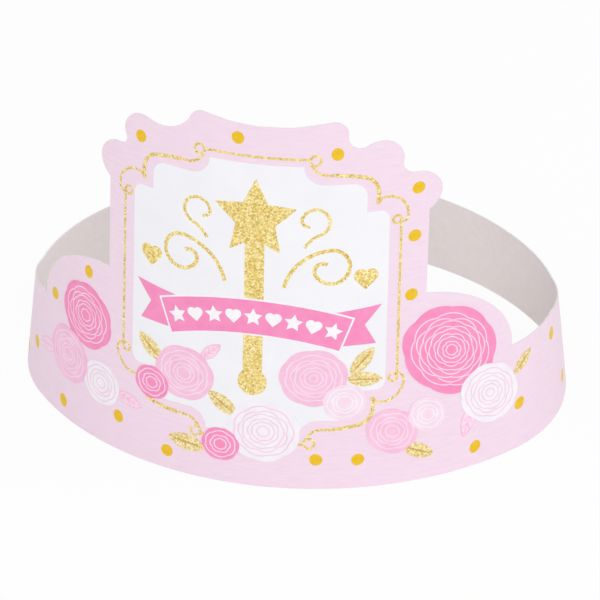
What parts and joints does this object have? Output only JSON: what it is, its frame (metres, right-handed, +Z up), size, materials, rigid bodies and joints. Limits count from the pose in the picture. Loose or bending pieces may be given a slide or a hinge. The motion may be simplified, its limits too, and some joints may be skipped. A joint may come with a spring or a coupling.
{
  "type": "printed card party crown",
  "caption": "Party crown of one printed card sheet rolled into an oval loop, with a tall lobed plaque at the front and a plain band behind.",
  "frame": {"origin": "on the ground under the middle of the loop's bounding box", "axes": "+Z up, -Y to the front where the plaque stands, +X to the wearer's left"},
  "size_m": [0.1602, 0.1334, 0.1142],
  "materials": {
    "printed_card": "satin printed card, plain white inside"
  },
  "bodies": {
    "root": {"crown_band": "printed_card"}
  },
  "joints": []
}
